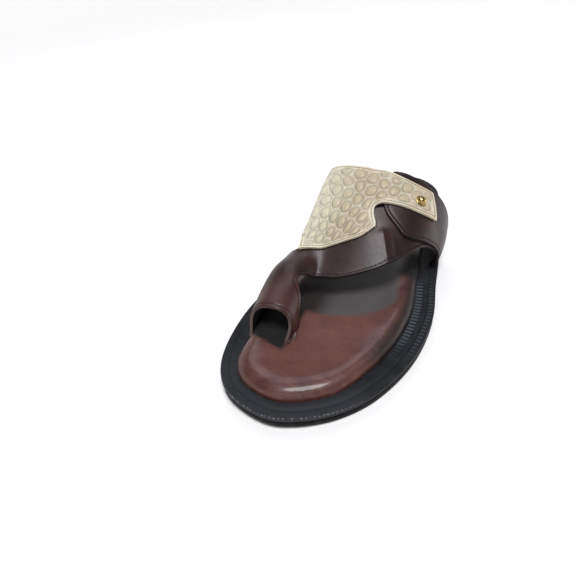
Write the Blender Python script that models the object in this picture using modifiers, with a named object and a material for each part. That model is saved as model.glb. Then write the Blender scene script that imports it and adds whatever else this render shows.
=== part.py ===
"""A padded leather sandal for the left foot, with a big toe ring, a brown strap upper and a
pale overlay closed by a brass stud.

The sole lies along Y with the toe at -Y, X runs to the little toe side, and Z is up from the
floor. The tables are drawn in millimetres for a sole 277 long and 115 wide; the sizes below
stretch that drawing.
"""

import math

import bmesh
import bpy
import numpy as np
from mathutils import Vector
from mathutils.geometry import delaunay_2d_cdt

# Main sizes, in metres
SOLE_LENGTH = 0.277
BALL_WIDTH = 0.1152
INSTEP_HEIGHT = 0.054  # of the upper's ridge above the welt, 25 mm behind mid length
OUTSOLE_THICKNESS = 0.0044
WELT_THICKNESS = 0.0033
HEEL_RISE = 0.0065
TOE_SPRING = 0.0015
STRAP_WALL = 0.0022
QUARTER_WALL = 0.0022
SADDLE_WALL = 0.0018
GAP = 0.0003
WELT_OVERLAP = 0.0035  # of the footbed's lip on the welt
RIM_ROLL = 0.0052  # height of the footbed's rolled rim above the welt
STUD_DIAMETER = 0.0078
STUD_HEIGHT = 0.0030

MM = 0.001
LONG = SOLE_LENGTH / (277 * MM)
WIDE = BALL_WIDTH / (115.2 * MM)
HIGH = INSTEP_HEIGHT / (54 * MM)
SEAT = (OUTSOLE_THICKNESS + WELT_THICKNESS + 2 * GAP) / MM  # where the straps stand, in mm
GAP_MM = GAP / MM

# Sole outline, from the toe tip round the medial side: x to the little toe, y from the toe
OUTLINE = [
    (-7.9, 0.3), (-32.3, 6.0), (-47.2, 21.8), (-54.4, 46.1), (-55.6, 76.6), (-48.6, 106.7),
    (-41, 138.5), (-37.6, 172), (-36, 206), (-35.2, 236), (-29.2, 260.7), (-13.3, 274.3),
    (0.7, 276.7), (14.8, 273), (29, 258.9), (37, 234), (42, 206), (49.8, 172),
    (54.8, 136.8), (59.6, 103.5), (56.5, 69.7), (45.4, 39.8), (30, 19.2), (10.6, 5.3),
]

# Width of the welt that shows beside the footbed
#        y    medial lateral
RIM = [
    (-140, 13.0, 13.0),
    (-60, 12.8, 13.2),
    (-38, 9.6, 13.2),
    (-16, 8.0, 13.2),
    (2, 10.6, 13.2),
    (44, 11.0, 13.0),
    (75, 12.0, 12.6),
    (140, 12.6, 12.6),
]

# The foot form under the straps: the instep. Heights are above the welt, and tuck is how far
# the medial side draws in at its foot.
#         y    ridge medial lateral top  medial_power lateral_power tuck
INSTEP = [
    (-115, -15, -20, -10, 1.7, 2.5, 1.8, 0),
    (-75, -15, -26, 5, 5.7, 2.5, 1.8, 0),
    (-60, -8, -44, 44, 12.7, 2.5, 1.8, 0),
    (-50, -5, -44, 46, 16.7, 2.5, 1.8, 2),
    (-40, -3, -44, 45.5, 20.7, 2.6, 2.0, 6),
    (-25, -4, -43, 45, 28.7, 2.8, 1.9, 11),
    (0, -9, -45, 43.6, 43.2, 3.0, 1.7, 16),
    (25, -15, -46.5, 43.8, 54.0, 3.0, 1.85, 12),
    (50, -15, -44, 39.5, 61.0, 3.0, 1.7, 10),
]

# The foot form under the straps: the big toe and its joint
#       y    middle half_width top
BIG_TOE = [
    (-115, -25.5, 10.5, 17.7),
    (-97, -26, 11.0, 19.5),
    (-85, -26.5, 13.0, 21.7),
    (-70, -29, 14.0, 23.7),
    (-55, -30.5, 13.8, 26.7),
    (-40, -30, 13.0, 25.2),
    (-25, -27, 11.0, 26.7),
    (0, -23, 11.0, 27.7),
]

# Where the girth of a section is measured from
AXIS = [(-80, -26.5), (-40, -14), (0, -2), (30, 0)]

# The form is drawn on its own line, a little off the sole's: turned towards the big toe
FORM_SCALE = 1.0154
FORM_TURN = -3.28  # degrees about Z
FORM_SHIFT = (2.97, 1.91)

# Outlines of the leather pieces on that form. y is along the sole, girth is -1 at the medial
# foot, 0 straight up and 1 at the lateral foot; corner is 1 where the cut turns sharply.
VAMP = [
    # y, girth, corner
    (-96.5, -1.0, 1), (-93.5, -0.72, 0), (-90.5, -0.4, 0), (-88.6, -0.1, 0), (-86.8, 0.15, 0),
    (-86, 0.32, 0), (-87.4, 0.5, 0), (-90, 0.64, 0), (-93.2, 0.8, 0), (-97, 0.91, 0),
    (-99.6, 1.0, 1),
    (-96, 1.0, 1), (-92.2, 0.95, 0), (-87, 0.92, 0), (-82.6, 0.83, 0), (-80, 0.71, 0),
    (-77.2, 0.5, 0), (-72.6, 0.33, 0), (-68.6, 0.2, 0), (-65.4, 0.07, 0), (-61.5, -0.04, 0),
    (-57, -0.08, 0), (-52, -0.06, 0), (-48.2, 0.04, 0), (-46.6, 0.22, 0), (-45, 0.37, 0),
    (-40.3, 0.49, 0), (-32.8, 0.57, 0), (-25, 0.595, 0), (-18, 0.61, 0), (-9.2, 0.625, 0),
    (1, 0.66, 0), (8, 0.74, 0), (14, 0.87, 0), (18, 1.0, 1),
    (30, 1.0, 1), (28, 0.85, 0), (24, 0.6, 0), (20.5, 0.38, 0), (16, 0.2, 0),
    (10, 0.05, 0), (-1, -0.1, 0), (-14, -0.24, 0), (-27, -0.38, 0), (-34.2, -0.45, 0),
    (-36.4, -0.56, 0), (-37.6, -0.69, 0), (-36.6, -0.84, 0), (-33.6, -1.0, 1),
]

QUARTER = [
    (9.5, 0.1, 0), (5.4, 0.155, 0), (2.2, 0.22, 0), (-1.2, 0.342, 0), (-4, 0.465, 0),
    (-1.8, 0.54, 0), (2.8, 0.62, 0), (7.4, 0.71, 0), (10.6, 0.8, 0), (12.6, 0.88, 0),
    (15, 1.0, 1),
    (36.5, 1.0, 1), (41, 0.86, 0), (43, 0.7, 0), (42.6, 0.56, 0), (40.4, 0.41, 0),
    (38, 0.25, 0), (35.6, 0.12, 0), (32, 0.045, 0), (23, 0.03, 0), (14, 0.05, 0),
]

SADDLE = [
    (3.6, -1.0, 1), (-0.6, -0.88, 0), (-5.6, -0.78, 0), (-11.6, -0.68, 0), (-19, -0.575, 0),
    (-27.3, -0.49, 0), (-37, -0.425, 1),
    (-34.6, -0.345, 0), (-30.8, -0.225, 0), (-26, -0.08, 0), (-21.5, 0.05, 0),
    (-16.5, 0.155, 0), (-8, 0.197, 1),
    (-5.2, 0.16, 0), (-2, 0.108, 0), (1.6, 0.072, 0), (4.6, 0.066, 0), (7.4, 0.108, 0),
    (9.9, 0.188, 0), (12.9, 0.31, 0), (15.7, 0.43, 0), (20.3, 0.56, 1),
    (28, 0.478, 0), (34.8, 0.402, 1),
    (32, 0.28, 0), (30.6, 0.16, 0), (30.2, 0.04, 0), (29.9, -0.08, 0), (29.6, -0.2, 0),
    (29.6, -0.31, 0), (31.6, -0.4, 0), (35.8, -0.49, 0), (40.2, -0.6, 0), (42.6, -0.75, 0),
    (43.4, -0.88, 0), (43.4, -1.0, 1),
]
STUD_AT = (22.2, 0.362)  # y and girth


def wipe():
    for old in list(bpy.data.objects):
        bpy.data.objects.remove(old, do_unlink=True)


def follow(table, column, at):
    """The column of a table at these places, along a smooth curve through its rows."""
    rows = np.array(table, float)
    place, value = rows[:, 0], rows[:, column]
    slope = np.gradient(value, place)
    at = np.clip(np.asarray(at, float), place[0], place[-1])
    i = np.clip(np.searchsorted(place, at, side="right") - 1, 0, len(place) - 2)
    step = place[i + 1] - place[i]
    t = (at - place[i]) / step
    return (
        (2 * t**3 - 3 * t**2 + 1) * value[i]
        + (t**3 - 2 * t**2 + t) * step * slope[i]
        + (3 * t**2 - 2 * t**3) * value[i + 1]
        + (t**3 - t**2) * step * slope[i + 1]
    )


def ease(t):
    t = np.clip(t, 0, 1)
    return t * t * (3 - 2 * t)


def rise(y):
    """How far the whole sole is lifted at y: onto the heel, and a little at the toe."""
    heel = HEEL_RISE / MM * ease((y - 20) / 48)
    return heel + TOE_SPRING / MM * ease((-y - 100) / 42) ** 2


def smooth_line(points, step, closed=True):
    """Points at even steps along a curve through these, turning sharply at each marked one."""
    points = np.array(points, float)
    count = len(points)
    out = []
    for i in range(count if closed else count - 1):
        a, b = points[i], points[(i + 1) % count]
        before, after = points[i - 1], points[(i + 2) % count]
        go = (b - before) / 2 if not a[2] else b - a
        come = (after - a) / 2 if not b[2] else b - a
        length = np.hypot(*(b - a)[:2])
        cuts = max(1, round(length / step))
        for t in np.arange(cuts) / cuts:
            out.append(
                (2 * t**3 - 3 * t**2 + 1) * a
                + (t**3 - 2 * t**2 + t) * go
                + (3 * t**2 - 2 * t**3) * b
                + (t**3 - t**2) * come
            )
    return np.array(out)[:, :2]


def inward(loop):
    """Unit vectors pointing into a closed loop."""
    along = np.roll(loop, -1, axis=0) - np.roll(loop, 1, axis=0)
    side = np.column_stack([-along[:, 1], along[:, 0]])
    side /= np.linalg.norm(side, axis=1)[:, None]
    area = np.sum(loop[:, 0] * np.roll(loop[:, 1], -1) - np.roll(loop[:, 0], -1) * loop[:, 1])
    return side if area > 0 else -side


def edge_distance(points, loop):
    """Distance from each point to a closed loop, and whether it is inside."""
    a, b = loop, np.roll(loop, -1, axis=0)
    d = b - a
    rel = points[:, None] - a[None]
    t = np.clip((rel * d).sum(2) / (d * d).sum(1), 0, 1)
    near = np.linalg.norm(rel - t[..., None] * d, axis=2).min(axis=1)
    y = points[:, 1:2]
    cross = (a[:, 1] > y) != (b[:, 1] > y)
    slope = d[:, 0] / np.where(d[:, 1] == 0, 1e-9, d[:, 1])
    left = points[:, :1] < a[:, 0] + (y - a[:, 1]) * slope
    return near, (cross & left).sum(axis=1) % 2 == 1


def triangulate(loop, extra):
    """Triangles that fill a loop, through the extra points inside it."""
    points = [Vector(p) for p in np.vstack([loop, extra])]
    ring = list(range(len(loop)))
    verts, _, faces, *_ = delaunay_2d_cdt(points, [], [ring], 1, 1e-6)
    return np.array([v[:] for v in verts]), [list(f) for f in faces]


def fill(loop, step, clear):
    """Points of a triangular grid inside a loop, none nearer to it than clear."""
    low, high = loop.min(axis=0), loop.max(axis=0)
    rows = []
    for j, y in enumerate(np.arange(low[1] + step / 2, high[1], step * 0.87)):
        x = np.arange(low[0] + (step / 2 if j % 2 else 0), high[0], step)
        rows.append(np.column_stack([x, np.full(len(x), y)]))
    grid = np.vstack(rows)
    near, inside = edge_distance(grid, loop)
    return grid[inside & (near > clear)]


def solid(name, flat, faces, low, high, colour, roughness, metallic=0.0):
    """A closed body between two sheets that share one flat layout, both in millimetres."""
    count = len(flat)
    ends = {}
    for f in faces:
        for a, b in zip(f, f[1:] + f[:1]):
            ends[(a, b)] = True
    rim = [(a, b) for a, b in ends if (b, a) not in ends]
    area = sum(
        flat[f[0], 0] * (flat[f[1], 1] - flat[f[2], 1])
        + flat[f[1], 0] * (flat[f[2], 1] - flat[f[0], 1])
        + flat[f[2], 0] * (flat[f[0], 1] - flat[f[1], 1])
        for f in faces
    )
    if area < 0:
        faces = [f[::-1] for f in faces]
        rim = [(b, a) for a, b in rim]
    mesh = bpy.data.meshes.new(name)
    bm = bmesh.new()
    verts = [bm.verts.new(Vector(p - CENTRE) * MM) for p in np.vstack([high, low])]
    for f in faces:
        bm.faces.new([verts[i] for i in f])
        bm.faces.new([verts[i + count] for i in reversed(f)])
    for a, b in rim:
        bm.faces.new([verts[b], verts[a], verts[a + count], verts[b + count]])
    bmesh.ops.recalc_face_normals(bm, faces=bm.faces)
    bm.to_mesh(mesh)
    bm.free()
    obj = bpy.data.objects.new(name, mesh)
    sandal.objects.link(obj)
    paint(obj, name, colour, roughness, metallic)
    return obj


def paint(obj, name, colour, roughness, metallic=0.0):
    material = bpy.data.materials.new(name + "_material")
    material.use_nodes = True
    shader = material.node_tree.nodes["Principled BSDF"]
    shader.inputs["Base Color"].default_value = (*colour, 1)
    shader.inputs["Roughness"].default_value = roughness
    shader.inputs["Metallic"].default_value = metallic
    material.diffuse_color = (*colour, 1)
    obj.data.materials.clear()
    obj.data.materials.append(material)


def bevel(obj, width, angle=50):
    modifier = obj.modifiers.new("soft edge", "BEVEL")
    modifier.width = width
    modifier.segments = 1
    modifier.limit_method = "ANGLE"
    modifier.angle_limit = math.radians(angle)


# The foot form that carries the straps


def form(x, y, h):
    """Less than 1 inside the form and 1 on it, at heights h above the welt."""
    ridge, medial, lateral, top, power_m, power_l, tuck = [
        follow(INSTEP, c, y) for c in range(1, 8)
    ]
    medial = medial + tuck * np.clip(1 - h / top, 0, 2) ** 1.3
    middle = 0.25 * top
    across = np.where(x < ridge, (ridge - x) / (ridge - medial), (x - ridge) / (lateral - ridge))
    power = np.where(x < ridge, power_m, power_l)
    up = np.where(h > middle, (h - middle) / (top - middle), (middle - h) / (1.2 * (top - middle)))
    instep = (across**power + up**power) ** (1 / power)
    centre, half, top = [follow(BIG_TOE, c, y) for c in (1, 2, 3)]
    middle = 0.3 * top
    up = np.where(h > middle, (h - middle) / (top - middle), (middle - h) / (1.3 * (top - middle)))
    toe = ((np.abs(x - centre) / half) ** 2.3 + up**2.3) ** (1 / 2.3)
    blend = 6
    return (np.maximum(instep, 1e-6) ** -blend + np.maximum(toe, 1e-6) ** -blend) ** (-1 / blend)


def on_form(y, girth):
    """The point of the form at each y and girth, in the sandal's own millimetres."""
    turn = girth * math.pi / 2
    side, up = np.sin(turn), np.cos(turn)
    from_x = follow(AXIS, 1, y)
    near, far = np.zeros_like(y), np.full_like(y, 120.0)
    for _ in range(40):
        reach = (near + far) / 2
        inside = form(from_x + reach * side, y, reach * up) < 1
        near, far = np.where(inside, reach, near), np.where(inside, far, reach)
    x = from_x + near * side
    turn = math.radians(FORM_TURN)
    across = FORM_SCALE * (x * math.cos(turn) - y * math.sin(turn)) + FORM_SHIFT[0]
    along = FORM_SCALE * (x * math.sin(turn) + y * math.cos(turn)) + FORM_SHIFT[1]
    z = FORM_SCALE * near * up * HIGH + SEAT + rise(along)
    return np.column_stack([across * WIDE, along * LONG, z])


def off_form(y, girth, out):
    """The same, moved outward by a distance that may differ from point to point."""
    y, girth = np.asarray(y, float), np.asarray(girth, float)
    across = on_form(y, np.clip(girth + 0.02, -1, 1)) - on_form(y, np.clip(girth - 0.02, -1, 1))
    along = on_form(y + 1.2, girth) - on_form(y - 1.2, girth)
    normal = np.cross(across, along)
    normal /= np.linalg.norm(normal, axis=1)[:, None]
    foot = np.clip((np.abs(girth) - 0.85) / 0.15, 0, 1) ** 2
    normal[:, 2] *= 1 - foot  # the foot of a strap is cut level with the welt
    normal /= np.linalg.norm(normal, axis=1)[:, None]
    return on_form(y, girth) + normal * np.broadcast_to(out, y.shape)[:, None]


PER_GIRTH = 62.0  # millimetres of leather to one unit of girth, about


def flat_outline(table, step):
    rows = [(g * PER_GIRTH, y, c) for y, g, c in table]
    return smooth_line(rows, step)


def panel(name, table, step, inner, outer, colour, roughness, grow=0.0):
    """A leather piece cut to an outline, lying on the form between two distances from it."""
    loop = flat_outline(table, step * 0.8)
    loop = loop - inward(loop) * grow
    flat, faces = triangulate(loop, fill(loop, step, step * 0.55))
    girth, y = flat[:, 0] / PER_GIRTH, flat[:, 1]
    low = off_form(y, girth, inner(flat))
    high = off_form(y, girth, outer(flat))
    return solid(name, flat, faces, low, high, colour, roughness)


wipe()
sandal = bpy.data.collections.new("leather_sandal")
cutters = bpy.data.collections.new("cutters")
for collection in (sandal, cutters):
    bpy.context.scene.collection.children.link(collection)

BROWN = (0.040, 0.016, 0.015)
MAHOGANY = (0.115, 0.038, 0.026)
PALE = (0.72, 0.63, 0.45)
BLACK = (0.012, 0.014, 0.017)

# Sole

outline = smooth_line([(x, y - 140.9, 0) for x, y in OUTLINE], 7.6)
outline = outline * np.array([WIDE, LONG])
CENTRE = np.append((outline.min(axis=0) + outline.max(axis=0)) / 2, 0)  # the origin, in mm
into = inward(outline)
share = ease((into[:, 0] + 0.5) / 1.0)
rim_width = share * follow(RIM, 1, outline[:, 1] / LONG) + (1 - share) * follow(
    RIM, 2, outline[:, 1] / LONG
)


def sole_lift(flat):
    return rise(flat[:, 1] / LONG)


def layer(name, flat, faces, bottom, top, colour, roughness):
    low = np.column_stack([flat, bottom])
    high = np.column_stack([flat, top])
    return solid(name, flat, faces, low, high, colour, roughness)


flat, faces = triangulate(outline, fill(outline, 11, 6))
lift = sole_lift(flat)
outsole = layer("outsole", flat, faces, lift, lift + OUTSOLE_THICKNESS / MM, BLACK, 0.5)
bevel(outsole, 0.0009)

# The welt is a ring: one profile carried round the outline
low_z = OUTSOLE_THICKNESS / MM + GAP_MM
high_z = low_z + WELT_THICKNESS / MM
hidden = WELT_OVERLAP / MM - 0.4
PROFILE = [
    # inset, share of the welt's hidden part, height from its underside as a share
    (0.5, 0, 0.0), (0.0, 0, 0.2), (0.0, 0, 0.78), (0.6, 0, 1.0), (4.6, 0, 1.0), (5.2, 0, 0.84),
    (5.8, 0, 1.0), (0.0, 1, 1.0), (0.0, 1, 0.0),
]
mesh = bpy.data.meshes.new("welt")
bm = bmesh.new()
rings = []
for inset, inner_share, height in PROFILE:
    reach = inset * rim_width / 12.6 + inner_share * (rim_width + hidden)
    spots = outline + into * reach[:, None]
    z = low_z + height * (high_z - low_z) + sole_lift(spots)
    spots = np.column_stack([spots, z]) - CENTRE
    rings.append([bm.verts.new(Vector(p) * MM) for p in spots])
for k, ring in enumerate(rings):
    other = rings[(k + 1) % len(rings)]
    for i in range(len(ring)):
        j = (i + 1) % len(ring)
        bm.faces.new([ring[i], ring[j], other[j], other[i]])
bmesh.ops.recalc_face_normals(bm, faces=bm.faces)
bm.to_mesh(mesh)
bm.free()
welt = bpy.data.objects.new("welt", mesh)
sandal.objects.link(welt)
paint(welt, "welt", BLACK, 0.45)

# Heel lift, under the outsole
BREAST = 58 * LONG
heel_loop = outline[outline[:, 1] > BREAST]
turn = np.argmax(np.linalg.norm(np.roll(heel_loop, -1, axis=0) - heel_loop, axis=1))
heel_loop = np.roll(heel_loop, -(turn + 1), axis=0)
a, b = heel_loop[-1], heel_loop[0]
breast = [a + (b - a) * t + np.array([0, 3.0 * math.sin(math.pi * t)]) for t in (0.2, 0.4, 0.6, 0.8)]
heel_loop = np.vstack([heel_loop, breast])
heel_loop = heel_loop + inward(heel_loop) * 0.8
flat, faces = triangulate(heel_loop, fill(heel_loop, 14, 7))
heel_lift = layer(
    "heel_lift", flat, faces, np.zeros(len(flat)), sole_lift(flat) - GAP_MM, BLACK, 0.5
)
bevel(heel_lift, 0.0006)

# Footbed: a rolled rim, a toe roll, a ridge behind the toes, an arch and a basin

bed = outline + into * rim_width[:, None]
bed_in = inward(bed)
lip = WELT_OVERLAP / MM
STEPS = [0.4, 1.5, lip - 0.1, lip + 0.1, 5.6, 8.6, 13.0]
loops = [bed + bed_in * d for d in STEPS]
extra = np.vstack(loops + [fill(bed, 8.0, 16.5)])
flat, faces = triangulate(bed, extra)
depth, _ = edge_distance(flat, bed)
fx, fy = flat[:, 0] / WIDE, flat[:, 1] / LONG


def footbed_top(x, y, depth):
    """Height above the welt of the footbed's surface, by place and depth in from its edge."""
    toe = ease((-y - 85) / 40)
    heel = ease((y - 60) / 60)
    arch = np.exp(-(((y + 2) / 34) ** 2)) * ease((-x - 2) / 30)
    crest = RIM_ROLL / MM + 1.2 * toe + 2.4 * heel + 3.6 * arch
    roll = np.sqrt(np.clip(1 - (1 - np.clip(depth / 8.0, 0, 1)) ** 2, 0, 1))
    basin = (2.0 + 1.4 * heel - 0.4 * toe) * ease((depth - 7) / 13)
    ridge = 1.7 * np.exp(-(((y + 70 - 0.12 * x) / 9) ** 2)) * ease((depth - 8) / 14)
    pad = 1.3 * np.exp(-(((y + 30) / 24) ** 2)) * ease((depth - 16) / 16)
    swell = 3.0 * np.exp(-(((y + 4) / 32) ** 2)) * ease((-x - 2) / 30) * ease((depth - 3) / 8)
    return crest * roll - basin + ridge + pad + 0.5 * swell


bottom = sole_lift(flat) + np.where(depth < lip, SEAT, low_z)
top = sole_lift(flat) + SEAT + 0.5 + footbed_top(fx, fy, depth)
footbed = layer("footbed", flat, faces, bottom, top, MAHOGANY, 0.28)

# Upper

STRAP = STRAP_WALL / MM
OVERLAP = 0.3  # how deep the quarter is set into the vamp, where the two are joined
QUARTER_IN = STRAP - OVERLAP
QUARTER_OUT = QUARTER_IN + QUARTER_WALL / MM


def level(value):
    return lambda flat: np.full(len(flat), value)


upper = panel("upper", VAMP, 4.0, level(0.0), level(STRAP), BROWN, 0.22)
quarter = panel("quarter_piece", QUARTER, 4.4, level(QUARTER_IN), level(QUARTER_OUT), BROWN, 0.22)
sandal.objects.unlink(quarter)
cutters.objects.link(quarter)
quarter.hide_render = True
quarter.display_type = "WIRE"
join = upper.modifiers.new("quarter", "BOOLEAN")
join.operation = "UNION"
join.solver = "EXACT"
join.object = quarter

quarter_loop = flat_outline(QUARTER, 2.0)


def over_quarter(flat):
    """Distance of the saddle's inner side from the form: it climbs over the quarter."""
    near, inside = edge_distance(flat, quarter_loop)
    near = np.where(inside, 0, near)
    climb = 1 - ease((near - 1.0) / 6.0)
    return STRAP + GAP_MM + 0.1 + climb * (QUARTER_OUT - STRAP + 0.1)


saddle = panel(
    "saddle", SADDLE, 3.8, over_quarter, lambda f: over_quarter(f) + SADDLE_WALL / MM, PALE, 0.4
)

# The footbed is let in round the strap feet
slot = panel(
    "strap_slot", VAMP, 4.0, level(-GAP_MM - 0.2), level(STRAP + GAP_MM + 0.2), BROWN, 0.5, grow=0.6
)
for v in slot.data.vertices:
    if v.co.z / MM < SEAT + rise((v.co.y / MM + CENTRE[1]) / LONG) + 0.4:
        v.co.z -= 0.0005
sandal.objects.unlink(slot)

# The ring's outer leg stands in a pocket of its own
loop = flat_outline(VAMP, 3.0)
leg = loop[(loop[:, 0] > 0.6 * PER_GIRTH) & (loop[:, 1] < -79)]
spots = np.vstack([off_form(leg[:, 1], leg[:, 0] / PER_GIRTH, out) for out in (-0.1, STRAP + 0.1)])
mesh = bpy.data.meshes.new("leg_pocket")
bm = bmesh.new()
for dx, dy in ((0.6, 0), (0, 0.6), (-0.6, 0), (0, -0.6)):
    for dz in (-0.6, 0.2):
        for spot in spots:
            bm.verts.new(Vector(spot + np.array([dx, dy, dz]) - CENTRE) * MM)
hull = bmesh.ops.convex_hull(bm, input=bm.verts)
spare = set(hull["geom_interior"]) | set(hull["geom_unused"])
bmesh.ops.delete(bm, geom=[v for v in spare if isinstance(v, bmesh.types.BMVert)], context="VERTS")
bmesh.ops.recalc_face_normals(bm, faces=bm.faces)
bm.to_mesh(mesh)
bm.free()
pocket = bpy.data.objects.new("leg_pocket", mesh)

for cutter in (slot, pocket):
    cutters.objects.link(cutter)
    cutter.hide_render = True
    cutter.display_type = "WIRE"
    cut = footbed.modifiers.new(cutter.name, "BOOLEAN")
    cut.operation = "DIFFERENCE"
    cut.solver = "EXACT"
    cut.use_self = True
    cut.object = cutter

# Stud

spot = np.array([[STUD_AT[1] * PER_GIRTH, STUD_AT[0]]])
height = over_quarter(spot) + SADDLE_WALL / MM
foot = off_form([STUD_AT[0]], [STUD_AT[1]], height + 0.35)[0]
tip = off_form([STUD_AT[0]], [STUD_AT[1]], height + 1.35)[0]
turned = bpy.data.meshes.new("stud")
bm = bmesh.new()
radius = STUD_DIAMETER / 2
PROFILE_STUD = [
    # radius as a share, height as a share
    (0.0, 0.0), (1.0, 0.0), (1.0, 0.16), (0.88, 0.26), (0.84, 0.44), (0.66, 0.74), (0.36, 0.94),
    (0.0, 1.0),
]
line = [bm.verts.new((r * radius, 0, h * STUD_HEIGHT)) for r, h in PROFILE_STUD]
for p, q in zip(line, line[1:]):
    bm.edges.new((p, q))
bm.to_mesh(turned)
bm.free()
stud = bpy.data.objects.new("stud", turned)
sandal.objects.link(stud)
spin = stud.modifiers.new("turned", "SCREW")
spin.steps = 20
spin.render_steps = 20
spin.use_merge_vertices = True
spin.merge_threshold = 0.00001
spin.use_normal_calculate = True
stud.location = Vector(foot - CENTRE) * MM
stud.rotation_mode = "QUATERNION"
stud.rotation_quaternion = Vector(tip - foot).to_track_quat("Z", "Y")
paint(stud, "stud", (0.72, 0.50, 0.20), 0.2, 1.0)
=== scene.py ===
# %% [markdown]
# # A padded leather sandal
# The frame is a plain model of one left sandal, made in CAD: an outsole with a heel lift, a welt,
# a footbed, an upper that is also the ring for the big toe, a pale saddle and a brass stud.
# The plain parts could just be given colours, but they lack the folds, seams and rounded edges
# that make leather look like leather. So here each of them gets a finer surface and a material,
# and a picture is taken from the angle of the photograph. All lengths are in millimetres until
# a mesh is made.

# %% Start
import math

import bpy
import numpy as np
from mathutils import Matrix, Vector
from mathutils.geometry import delaunay_2d_cdt


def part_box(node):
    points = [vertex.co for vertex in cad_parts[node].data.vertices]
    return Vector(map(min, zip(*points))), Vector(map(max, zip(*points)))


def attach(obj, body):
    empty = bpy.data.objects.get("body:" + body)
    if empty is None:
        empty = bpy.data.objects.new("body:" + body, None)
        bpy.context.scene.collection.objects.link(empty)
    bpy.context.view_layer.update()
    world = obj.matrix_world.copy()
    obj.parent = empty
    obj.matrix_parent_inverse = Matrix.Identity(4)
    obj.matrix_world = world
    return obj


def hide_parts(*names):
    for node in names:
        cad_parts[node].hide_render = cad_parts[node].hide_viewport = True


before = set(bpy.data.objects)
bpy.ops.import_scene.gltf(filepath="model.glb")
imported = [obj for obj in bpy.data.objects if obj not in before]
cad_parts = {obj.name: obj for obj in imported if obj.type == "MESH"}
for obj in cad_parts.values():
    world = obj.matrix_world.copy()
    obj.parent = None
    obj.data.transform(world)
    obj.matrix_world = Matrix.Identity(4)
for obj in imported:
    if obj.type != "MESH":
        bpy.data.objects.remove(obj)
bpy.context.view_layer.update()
MM = 0.001
CENTRE = np.array([2.05, -2.36, 0.0])  # from the drawing's origin to the sandal's middle

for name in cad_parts:
    low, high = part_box(name)
    print(name, [round((b - a) * 1000, 1) for a, b in zip(low, high)], "mm")

# %% [markdown]
# ## A shorthand for shaders
# The finishes are all made of noise, masks and tints. They could be wired by hand in the shader
# editor, but as text a recipe reads best as arithmetic. Sock wraps one output of a node, so that
# plain + and * on it build Math nodes. Graph makes a material and any other node in one call.


# %% Shader shorthand
class Sock:
    """One output of a node, which Python's operators turn into Math nodes."""

    def __init__(self, graph, out):
        self.graph = graph
        self.out = out

    def math(self, operation, *values):
        return self.graph.node("ShaderNodeMath", {"operation": operation}, dict(enumerate(values)))

    def __add__(self, other):
        return self.math("ADD", self, other)

    def __sub__(self, other):
        return self.math("SUBTRACT", self, other)

    def __rsub__(self, other):
        return self.math("SUBTRACT", other, self)

    def __mul__(self, other):
        return self.math("MULTIPLY", self, other)

    def __truediv__(self, other):
        return self.math("DIVIDE", self, other)

    def __pow__(self, other):
        return self.math("POWER", self, other)

    def __abs__(self):
        return self.math("ABSOLUTE", self)

    __radd__ = __add__
    __rmul__ = __mul__

    def least(self, other):
        return self.math("MINIMUM", self, other)

    def most(self, other):
        return self.math("MAXIMUM", self, other)

    def part(self):
        return self.math("FRACT", self)

    def root(self):
        return self.math("SQRT", self)

    def step(self, start, end):
        """0 below start, 1 above end, and smooth between them."""
        return self.graph.node(
            "ShaderNodeMapRange",
            {"interpolation_type": "SMOOTHSTEP"},
            {"Value": self, "From Min": start, "From Max": end},
        )

    def bump(self, centre, width):
        """1 at centre, falling smoothly to 0 at that distance from it."""
        return 1 - abs(self - centre).step(0, width)


class Graph:
    """A material, its Principled shader and the nodes that feed it."""

    def __init__(self, name, colour=(0.5, 0.5, 0.5), roughness=0.5, **settings):
        self.material = bpy.data.materials.new(name)
        self.material.use_nodes = True
        self.tree = self.material.node_tree
        self.shader = self.tree.nodes["Principled BSDF"]
        self.put(self.shader.inputs["Base Color"], (*colour, 1))
        self.put(self.shader.inputs["Roughness"], roughness)
        for key, value in settings.items():
            self.put(self.shader.inputs[key.replace("_", " ")], value)

    def put(self, socket, value):
        """Links a Sock to a socket, or sets the socket to a number or a colour."""
        if isinstance(value, Sock):
            self.tree.links.new(value.out, socket)
        else:
            socket.default_value = value

    def node(self, kind, settings=None, inputs=None, output=0):
        """Any node: its type, its settings, then the values or links of its sockets."""
        node = self.tree.nodes.new(kind)
        for key, value in (settings or {}).items():
            setattr(node, key, value)
        for key, value in (inputs or {}).items():
            self.put(node.inputs[key], value)
        return Sock(self, node.outputs[output])

    def place(self):
        """Where the point lies on the object, in millimetres."""
        where = self.node("ShaderNodeTexCoord", output="Object")
        return self.node(
            "ShaderNodeVectorMath", {"operation": "SCALE"}, {0: where, "Scale": 1 / MM}
        )

    def value(self, name):
        """A number stored on each point of the mesh."""
        return self.node("ShaderNodeAttribute", {"attribute_name": name}, output="Fac")

    def noise(self, size, detail=3, rough=0.55, vector=None, output=0):
        """Noise between 0 and 1, with patches about this many millimetres across."""
        where = vector or self.place()
        return self.node(
            "ShaderNodeTexNoise",
            {},
            {"Vector": where, "Scale": 1 / size, "Detail": detail, "Roughness": rough},
            output,
        )

    def mix(self, factor, a, b):
        """Colour a where factor is 0 and b where it is 1."""
        a, b = [value if isinstance(value, Sock) else (*value, 1) for value in (a, b)]
        return self.node("ShaderNodeMix", {"data_type": "RGBA"}, {0: factor, 6: a, 7: b}, 2)

    def dent(self, height, strength=1.0, distance=MM):
        """Feeds a height, in units of distance, to the shader's normal."""
        bump = self.node(
            "ShaderNodeBump",
            {},
            {"Height": height, "Strength": strength, "Distance": distance},
        )
        self.put(self.shader.inputs["Normal"], bump)

    def set(self, **inputs):
        """Puts values or links on the shader's own sockets."""
        for key, value in inputs.items():
            self.put(self.shader.inputs[key.replace("_", " ")], value)


print("Graph has", len([name for name in vars(Graph) if not name.startswith("_")]), "helpers")

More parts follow.
